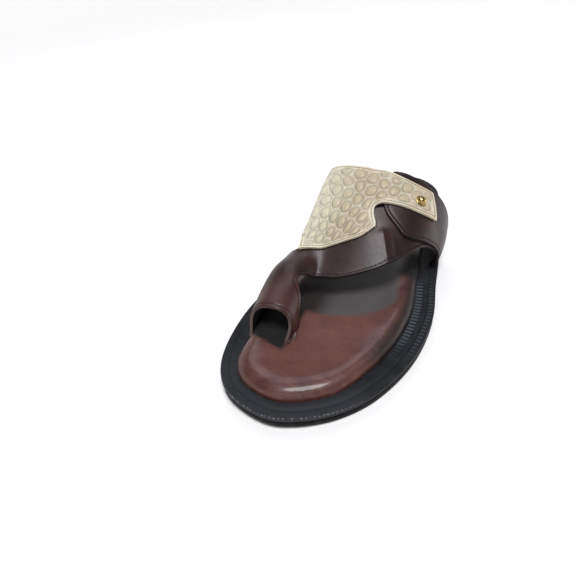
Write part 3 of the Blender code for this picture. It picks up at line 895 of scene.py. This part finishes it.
# %% Saddle
PALE_EDGE = [0.12, 0.35, 0.7, 1.05, PALE_SEAM, 1.75, 2.2, 3.0]
quarter_loop = flat_outline(QUARTER, 2.0)


def saddle_in(flat):
    """Distance of the saddle's inner side from the form: it climbs over the quarter."""
    near, inside = edge_distance(flat, quarter_loop)
    climb = 1 - ease((np.where(inside, 0, near) - 1.0) / 6.0)
    return STRAP + 0.4 + climb * (QUARTER_OUT - STRAP + 0.1)


loop = flat_outline(SADDLE, 1.1)
flat, faces, depth = lay_out(loop, 1.35, PALE_EDGE)
girth = flat[:, 0] / PER_GIRTH
inner = saddle_in(flat)
drop = (rounded(depth, 0.3) + seam(depth, PALE_SEAM, 0.4, 0.12)) * off_feet(girth)
high = off_form(flat[:, 1], girth, inner + SADDLE_WALL - drop)
low = off_form(flat[:, 1], girth, inner)
saddle = two_sheets("scaled_saddle", flat, faces, depth, low, high, [pale, pale_under, pale_edge])
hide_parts("saddle")


# %% Stitches of the saddle
def saddle_top(line):
    """Distance of the saddle's stitches from the foot form. Their thread is finer."""
    return saddle_in(line) + SADDLE_WALL - 0.12


vamp_loop = flat_outline(VAMP, 2.0)


def before_saddle(line):
    """Where the strap lies open beside the saddle's front edge."""
    near, inside = edge_distance(line, vamp_loop)
    return inside & (near > 2.5) & (line[:, 1] < -1) & above_welt(line)


stitches("saddle_stitches", SADDLE, PALE_SEAM, saddle_top, above_welt, 1.4, 0.22)
stitches("strap_row", SADDLE, -0.9, vamp_top, before_saddle, 1.5, 0.5)

# %% [markdown]
# ## The footbed
# Mahogany leather is pulled over padding, with a rolled rim, a thick roll along the toes, a soft
# ridge behind them and a basin in the middle, which is lighter and dull. Under the straps it gets
# a painted grey reflection that turns to painted shade on the medial side, and painted black
# shadow inside the ring and under the quarter. Its finish could be painted on a texture, but a
# texture needs an unwrapped mesh. Here each such place is a number from 0 to 1 on the points of
# the mesh, and the shader mixes one tint after another.

# %% Footbed leather
bed_leather = Graph("footbed_leather", (0.125, 0.042, 0.028), 0.25, Coat_Roughness=0.14)
bed_leather.set(Specular_IOR_Level=0.36)
cloud = bed_leather.noise(16, 4, 0.6)
stretched = bed_leather.node(
    "ShaderNodeVectorMath", {"operation": "MULTIPLY"}, {0: bed_leather.place(), 1: (0.5, 1.5, 1.0)}
)
streak = bed_leather.noise(4, 5, 0.65, stretched)
pores = bed_leather.noise(0.5, 2, 0.6)
wall = bed_leather.value("wall")
basin = bed_leather.value("flat")
burnt = bed_leather.value("burnt")
black = bed_leather.value("black")
# pad: painted grey reflection under the straps, its edge broken up by streaks
pad = bed_leather.value("pad") + 1.1 * (streak - 0.5)

# the painted grey reflection turns to painted shade, near black, towards the medial side
grey = bed_leather.mix(bed_leather.value("shade"), (0.066, 0.064, 0.064), (0.006, 0.005, 0.005))
warm = bed_leather.mix(cloud.step(0.3, 0.72), (0.052, 0.0140, 0.0105), (0.104, 0.0340, 0.0235))
warm = bed_leather.mix(streak.step(0.48, 0.7) * 0.5, warm, (0.15, 0.058, 0.040))
warm = bed_leather.mix(pores.step(0.55, 0.7) * 0.25, warm, (0.030, 0.010, 0.008))
warm = bed_leather.mix(basin * 0.36, warm, (0.150, 0.058, 0.044))
warm = bed_leather.mix(pad.step(0.1, 0.9) * 0.95, warm, grey)
warm = bed_leather.mix(burnt * 0.95, warm, (0.014, 0.006, 0.005))
# painted shadow: near-black inside the ring and under the quarter
warm = bed_leather.mix(black, warm, (0.004, 0.004, 0.004))
bed_leather.set(Base_Color=bed_leather.mix(wall * 0.92, warm, (0.010, 0.009, 0.010)))

dull = basin.most(black)
bed_leather.set(Roughness=0.30 + 0.14 * streak + 0.2 * dull + 0.2 * black)
bed_leather.set(Coat_Weight=(0.2 + 0.34 * cloud) * (1 - 0.97 * dull) * (1 - 0.8 * burnt))
bed_leather.dent(0.7 * streak + 0.3 * pores, 0.8, 0.7 * MM)
print("footbed leather has", len(bed_leather.tree.nodes), "nodes")


# %% Shape of the footbed
def footbed_top(x, y, depth):
    """Height above the welt of the footbed's surface, by place and depth in from its edge."""
    toe = ease((-y - 85) / 40)
    heel = ease((y - 60) / 60)
    arch = np.exp(-(((y + 2) / 34) ** 2)) * ease((-x - 2) / 30)
    crest = 5.2 + 1.2 * toe + 2.4 * heel + 3.6 * arch
    wide = 7.5 + 3.0 * toe
    roll = np.sqrt(np.clip(1 - (1 - np.clip(depth / wide, 0, 1)) ** 2.2, 0, 1))
    basin = (2.2 + 1.4 * heel) * ease((depth - 6.5 - 2 * toe) / (15 + 8 * toe))
    ridge = 1.7 * np.exp(-(((y + 70 - 0.12 * x) / 9) ** 2)) * ease((depth - 8) / 14)
    pad = 1.3 * np.exp(-(((y + 30) / 24) ** 2)) * ease((depth - 16) / 16)
    swell = 3.0 * np.exp(-(((y + 4) / 32) ** 2)) * ease((-x - 2) / 30) * ease((depth - 3) / 8)
    return crest * roll - basin + ridge + pad + 0.5 * swell


def tones_and_painted_light(x, y, depth):
    """Shares of black wall, painted grey reflection, shade and shadow, basin and dark rim."""
    waist = np.exp(-(((y - 5) / 45) ** 4))
    # painted shadow: black inside the ring and under the quarter's front edge
    in_ring = ease((y + 0.164 * x + 103) / 2) * (1 - ease((x + 17) / 3)) * (1 - ease((y + 66) / 10))
    by_quarter = ease((y + 15) / 10) * ease((x - 24) / 10) * (1 - ease((y - 12) / 12))
    bow = y + 64 - 0.0121 * (x + 10) ** 2
    return {
        "wall": (1 - ease((depth - 0.5) / 1.0)) * waist,
        # pad: painted grey reflection where the straps cover the footbed
        "pad": ease((bow + 6) / 12) * ease((depth - 7) / 8) * (1 - ease((y - 4) / 26)),
        "shade": (1 - ease((x + 14) / 16)) * (1 - ease((y + 48) / 20)),
        "flat": ease((depth - 9) / 9),
        "black": np.maximum(in_ring, by_quarter),
        "burnt": ease((x - 14) / 16) * (1 - ease((depth - 3) / 6)) * ease((y + 100) / 24),
    }


# %% Footbed
BED_RINGS = [0.06, 0.2, 0.45, 0.8, 1.3, 2.0, 3.0, 4.2, 5.6, 7.2, 9.0]
TOE_ROLL_OUT = 2.8  # how far the roll at the toes leans out over the welt

outline = sole_outline(2.0)
narrowed = welt_width(outline) - TOE_ROLL_OUT * ease((-outline[:, 1] - 95) / 30)
bed = outline + inward(outline) * narrowed[:, None]
flat, faces, depth = lay_out(bed, 2.3, BED_RINGS)
top = SEAT + 0.5 + rise(flat[:, 1]) + footbed_top(flat[:, 0], flat[:, 1], depth)
high = np.column_stack([flat, top])
low = np.column_stack([flat, SEAT - 0.3 + rise(flat[:, 1])])
footbed = two_sheets("padded_footbed", flat, faces, depth, low, high, [bed_leather] * 3)
tones_and_light = tones_and_painted_light(flat[:, 0], flat[:, 1], depth)
store(footbed, **{name: np.tile(share, 2) for name, share in tones_and_light.items()})
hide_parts("footbed")

# %% [markdown]
# ## The sole
# The welt is a strip of black leather with two rows of fine cross ribs on the lateral side, one
# beside the footbed and one along the outer edge. Toward the toe they give way to a worn, lumpy
# surface with one incised line. The strip could be a bevelled curve, but a curve keeps one
# profile all the way. Here a list of rows is carried round the outline, and the ribs are a wave
# of the distance along it that sinks only some of the rows.


# %% Swept rings
def sweep(name, line, rows, material, smooth):
    """A closed ring: each row is how far in from the line it lies, and its height."""
    count = len(line)
    points = []
    for inset, z in rows:
        spots = line + inward(line) * np.broadcast_to(inset, count)[:, None]
        points.append(np.column_stack([spots, z + rise(spots[:, 1])]))
    faces = []
    for k in range(len(rows)):
        a, b = k * count, (k + 1) % len(rows) * count
        for i in range(count):
            j = (i + 1) % count
            faces.append([a + i, a + j, b + j, b + i])
    return add(name, np.vstack(points), faces, [material], smooth=smooth)


# %% Ribs round the welt
RIB_PITCH = 3.1
outline = sole_outline(0.62)
width = welt_width(outline)
run = np.concatenate([[0], np.cumsum(np.linalg.norm(np.diff(outline, axis=0), axis=1))])
ribs = ease((0.5 + 0.5 * np.sin(run * 2 * math.pi / RIB_PITCH) - 0.12) / 0.55)
outer_ribs = np.roll(ribs, 2)
lateral = ease((outline[:, 0] - 15) / 20) * ease((outline[:, 1] + 88) / 30)
patchy = np.clip(0.45 + 0.6 * np.sin(run * 0.41) * np.sin(run * 0.173), 0, 1)
medial = ease((-outline[:, 0] - 22) / 16) * patchy
strength = np.maximum(lateral, medial) * (1 - ease((outline[:, 1] + 10) / 10))
lump = 0.10 * np.sin(run * 0.9) * np.sin(run * 0.37 + 1)
deep_inner = 0.55 * strength * (1 - ribs) + 0.5 * (1 - strength) * lump
deep_outer = 0.42 * strength * (1 - outer_ribs) + (1 - strength) * lump
print("welt", run[-1].round(), "mm round,", round(run[-1] / RIB_PITCH), "ribs at most")

# %% Profile of the welt
wide = width / 13.0
WELT_ROWS = [
    (0.6, OUTSOLE + 0.3), (0.1, OUTSOLE + 0.5), (0.0, OUTSOLE + 1.0), (0.0, WELT_TOP - 1.1),
    (0.08, WELT_TOP - 0.5), (0.35, WELT_TOP - 0.12), (0.8 * wide, WELT_TOP),
    (1.15 * wide, WELT_TOP - 0.05), (1.35 * wide, WELT_TOP - deep_outer),
    (3.9 * wide, WELT_TOP - deep_outer), (4.15 * wide, WELT_TOP - 0.05),
    (4.6 * wide, WELT_TOP - 0.02), (4.95 * wide, WELT_TOP - 0.3), (5.3 * wide, WELT_TOP - 0.02),
    (8.1 * wide, WELT_TOP), (8.4 * wide, WELT_TOP - deep_inner),
    (12.3 * wide, WELT_TOP - deep_inner), (12.6 * wide, WELT_TOP - 0.1),
    (width + 3.0, WELT_TOP), (width + 3.0, OUTSOLE + 0.3),
]
CORNER_ROWS = slice(4, 6)
OUTER_ROWS = slice(8, 10)
INNER_ROWS = slice(15, 17)
print("profile of", len(WELT_ROWS), "rows")

# %% [markdown]
# The welt's black is broken up: the tops of the ribs carry a painted blue highlight, the gaps
# between them painted shade, and the top corner at the toe a painted highlight in short dashes.
# Those places are known from the same waves that shape the ribs, so they are stored on the mesh
# and need no drawing.

# %% Welt leather
welt_leather = Graph("welt_leather", (0.012, 0.014, 0.017), 0.5, Specular_IOR_Level=0.2)
patch = welt_leather.noise(7, 4, 0.65)
fine = welt_leather.noise(1.1, 3, 0.6)
# painted highlight on the welt's top outer corner at the toe, broken into dashes
toe_edge_glints = welt_leather.value("rubbed") * fine.step(0.4, 0.6)
blue = welt_leather.mix(patch.step(0.35, 0.68), (0.0035, 0.0045, 0.006), (0.012, 0.014, 0.018))
blue = welt_leather.mix(fine.step(0.6, 0.78) * 0.3, blue, (0.022, 0.026, 0.033))
blue = welt_leather.mix(welt_leather.value("toe") * 0.6, blue, (0.026, 0.028, 0.033))
blue = welt_leather.mix(toe_edge_glints, blue, (0.16, 0.16, 0.17))
# painted highlight: the tops of the ribs are mixed to a pale blue
blue = welt_leather.mix(welt_leather.value("rib") * 0.8, blue, (0.060, 0.078, 0.090))
# painted shade: the troughs between the ribs are mixed darker
blue = welt_leather.mix(welt_leather.value("gap") * 0.8, blue, (0.003, 0.004, 0.005))
welt_leather.set(Base_Color=blue, Roughness=0.48 + 0.25 * patch)
welt_leather.dent(patch + 0.3 * fine, 0.5, 0.35 * MM)
print("welt leather has", len(welt_leather.tree.nodes), "nodes")

# %% Welt
welt = sweep("ribbed_welt", outline, WELT_ROWS, welt_leather, 55)
gap = np.zeros((len(WELT_ROWS), len(outline)))
# painted shade in the troughs between the ribs
gap[OUTER_ROWS] = strength * (1 - outer_ribs)
gap[INNER_ROWS] = strength * (1 - ribs)
gap *= 0.4 + 0.6 * lateral
rib = np.zeros_like(gap)
# painted highlight on the rib tops
rib[OUTER_ROWS] = strength * outer_ribs * 0.5
rib[INNER_ROWS] = strength * ribs
rib *= lateral
rubbed = np.zeros_like(gap)
# painted highlight: the top outer corner at the toe, in short dashes
rubbed[CORNER_ROWS] = ease((-outline[:, 1] - 105) / 18) * (np.sin(run * 2 * math.pi / 2.4) > -0.2)
toe = np.tile(ease((-outline[:, 1] - 96) / 26), len(WELT_ROWS))
store(welt, gap=gap.ravel(), rib=rib.ravel(), rubbed=rubbed.ravel(), toe=toe)
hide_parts("welt")

# %% [markdown]
# The outsole is a slab of dark rubber with crisp edges, seen only from its side. The plain model's
# heel lift already has the right shape, so it keeps its own mesh and only takes the material.

# %% Rubber
rubber = Graph("sole_edge", (0.012, 0.012, 0.011), 0.6, Specular_IOR_Level=0.06)
scuff = rubber.noise(5, 4, 0.6)
rub = rubber.mix(scuff.step(0.4, 0.7), (0.004, 0.0038, 0.0036), (0.013, 0.012, 0.011))
rubber.set(Base_Color=rub, Roughness=0.34 + 0.2 * scuff)
rubber.dent(scuff + 0.2 * rubber.noise(0.8, 2), 0.4, 0.25 * MM)
print("rubber has", len(rubber.tree.nodes), "nodes")

# %% Outsole and heel
flat, faces, depth = lay_out(sole_outline(2.0), 6.0, [0.15, 0.45, 0.9])
drop = rounded(depth, 0.7)
lift = rise(flat[:, 1])
high = np.column_stack([flat, lift + OUTSOLE - drop * 0.6])
low = np.column_stack([flat, lift + drop * 0.6])
outsole = two_sheets("thin_outsole", flat, faces, depth, low, high, [rubber] * 3)
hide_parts("outsole")
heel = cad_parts["heel_lift"]
heel.data.materials.clear()
heel.data.materials.append(rubber.material)

# %% [markdown]
# ## The stud
# A domed brass rivet holds the saddle's tab. It is round, so it is turned from a profile, and
# the profile stands on the tab along the way out of the leather there. A ready-made sphere would
# lack the collar. A metal shows little but what it reflects, so its finish varies only faintly.

# %% Brass
brass = Graph("brass", (0.78, 0.56, 0.26), 0.16, Metallic=1.0)
tarnish = brass.noise(1.4, 3)
brass.set(Base_Color=brass.mix(tarnish.step(0.4, 0.7), (0.36, 0.25, 0.09), (0.56, 0.42, 0.19)))
brass.set(Roughness=0.16 + 0.12 * tarnish)
print("brass has", len(brass.tree.nodes), "nodes")

# %% Stud
TURNS = 48
STUD_PROFILE = [
    # radius and height
    (0.0, 0.0), (3.7, 0.0), (3.9, 0.2), (3.85, 0.45), (3.5, 0.6), (3.3, 0.62), (3.2, 0.8),
    (3.15, 1.2), (2.9, 1.75), (2.4, 2.3), (1.7, 2.72), (0.9, 2.95), (0.0, 3.0),
]


def turned(foot, up, profile):
    """Points and faces of a profile turned about the direction up."""
    side = np.cross(up, [0.0, 1.0, 0.0])
    side = side / np.linalg.norm(side)
    front = np.cross(side, up)
    points = []
    for radius, height in profile:
        for turn in np.arange(TURNS) / TURNS * 2 * math.pi:
            ring = (side * math.cos(turn) + front * math.sin(turn)) * radius
            points.append(foot + up * height + ring)
    faces = []
    for k in range(len(profile) - 1):
        a, b = TURNS * k, TURNS * (k + 1)
        for i in range(TURNS):
            j = (i + 1) % TURNS
            faces.append([a + i, a + j, b + j, b + i])
    return points, faces


spot = np.array([[STUD_AT[1] * PER_GIRTH, STUD_AT[0]]])
base = saddle_in(spot) + SADDLE_WALL + 0.05
foot = off_form([STUD_AT[0]], [STUD_AT[1]], base)[0]
up = off_form([STUD_AT[0]], [STUD_AT[1]], base + 1)[0] - foot
stud = add("brass_stud", *turned(foot, up, STUD_PROFILE), [brass], smooth=50)
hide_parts("stud")

# %% [markdown]
# ## Floor, light and camera
# The photograph is a studio shot on white, so all round the sandal there is nothing but pale
# paper. A flat floor would end in a dark horizon from low angles. This one is flat near the
# sandal and curls up into a wide bowl, so every view has a backdrop.

# %% Floor
FLOOR_SIDES = 48
FLOOR_RINGS = [2.0, 2.5, 3.0, 3.5, 4.0, 5.0, 6.0, 7.0, 8.0, 9.0]  # radii in metres

paper = Graph("paper", (0.92, 0.92, 0.91), 0.9)
paper.dent(paper.noise(30, 2), 0.05, 0.2 * MM)


def staged(name, data):
    """An object that belongs to the picture and not to the sandal."""
    obj = bpy.data.objects.new(name, data)
    bpy.context.scene.collection.objects.link(obj)
    return obj


points = []
for radius in FLOOR_RINGS:
    for turn in np.arange(FLOOR_SIDES) / FLOOR_SIDES * 2 * math.pi:
        height = 0.11 * (radius - FLOOR_RINGS[0]) ** 2
        points.append((radius * math.cos(turn), radius * math.sin(turn), height))
faces = [list(range(FLOOR_SIDES))]
for k in range(len(FLOOR_RINGS) - 1):
    a, b = FLOOR_SIDES * k, FLOOR_SIDES * (k + 1)
    for i in range(FLOOR_SIDES):
        j = (i + 1) % FLOOR_SIDES
        faces.append([a + i, b + i, b + j, a + j])
mesh = bpy.data.meshes.new("floor")
mesh.from_pydata(points, [], faces)
mesh.shade_smooth()
mesh.materials.append(paper.material)
staged("floor", mesh)
print("floor", len(faces), "faces")

# %% [markdown]
# A wide overhead light gives the soft shadow and the even white. It is a sun with a large disc,
# because a sun lights all of the paper alike, where a lamp would leave a pool. Three softboxes
# add the gleams on the leather: one behind, one in front and a narrow one at the lateral side.

# %% Light
world = bpy.data.worlds.new("studio")
bpy.context.scene.world = world
world.use_nodes = True
background = world.node_tree.nodes["Background"]
background.inputs["Color"].default_value = (1.0, 1.0, 1.0, 1)
background.inputs["Strength"].default_value = 0.08
bpy.context.scene.view_settings.view_transform = "Standard"


def softbox(name, place, width, height, power, colour):
    """A rectangular lamp at a place, in metres, aimed at the sandal."""
    data = bpy.data.lights.new(name, "AREA")
    data.shape = "RECTANGLE"
    data.size = width
    data.size_y = height
    data.energy = power
    data.color = colour
    obj = staged(name, data)
    obj.location = place
    aim = Vector((0, 0, 0.03))
    obj.rotation_euler = (aim - Vector(place)).to_track_quat("-Z", "Y").to_euler()
    print(name, power, "W")


data = bpy.data.lights.new("overhead", "SUN")
data.energy = 2.5
data.angle = 0.42
data.color = (0.98, 0.97, 1.0)
overhead = staged("overhead", data)
overhead.rotation_euler = Vector((0.14, -0.07, 1.0)).to_track_quat("Z", "Y").to_euler()
softbox("back", (-0.42, 0.62, 0.98), 0.6, 0.5, 2.4, (0.97, 0.95, 1.0))
softbox("front", (0.25, -0.95, 0.75), 0.9, 0.5, 1.8, (0.97, 0.96, 1.0))
softbox("side", (0.95, 0.6, 0.15), 0.15, 0.5, 1.4, (1.0, 1.0, 1.0))

# %% [markdown]
# The camera stands before the toe and above it, turned and rolled as the photograph was taken.
# A camera could be aimed with a Track To constraint, but that leaves no roll, so its three axes
# are worked out from the angles and written into its matrix.

# %% Camera
YAW, PITCH, ROLL = -0.5504, 0.7183, -0.1287  # radians
EYE = (74.0, -226.7, 194.35)  # in the drawing's millimetres
ahead = Vector((math.sin(YAW) * math.cos(PITCH), math.cos(YAW) * math.cos(PITCH), -math.sin(PITCH)))
level = ahead.cross(Vector((0, 0, 1))).normalized()
above = level.cross(ahead)
right = level * math.cos(ROLL) + above * math.sin(ROLL)
up = above * math.cos(ROLL) - level * math.sin(ROLL)
matrix = Matrix((right, up, -ahead)).transposed().to_4x4()
matrix.translation = (Vector(EYE) - Vector(CENTRE)) * MM
data = bpy.data.cameras.new("camera")
data.sensor_width = 36
data.lens = 24.69
camera = bpy.data.objects.new("camera", data)
camera.matrix_world = matrix
bpy.context.scene.collection.objects.link(camera)
bpy.context.scene.camera = camera
print("camera at", [round(c, 3) for c in matrix.translation], "m")

# %% [markdown]
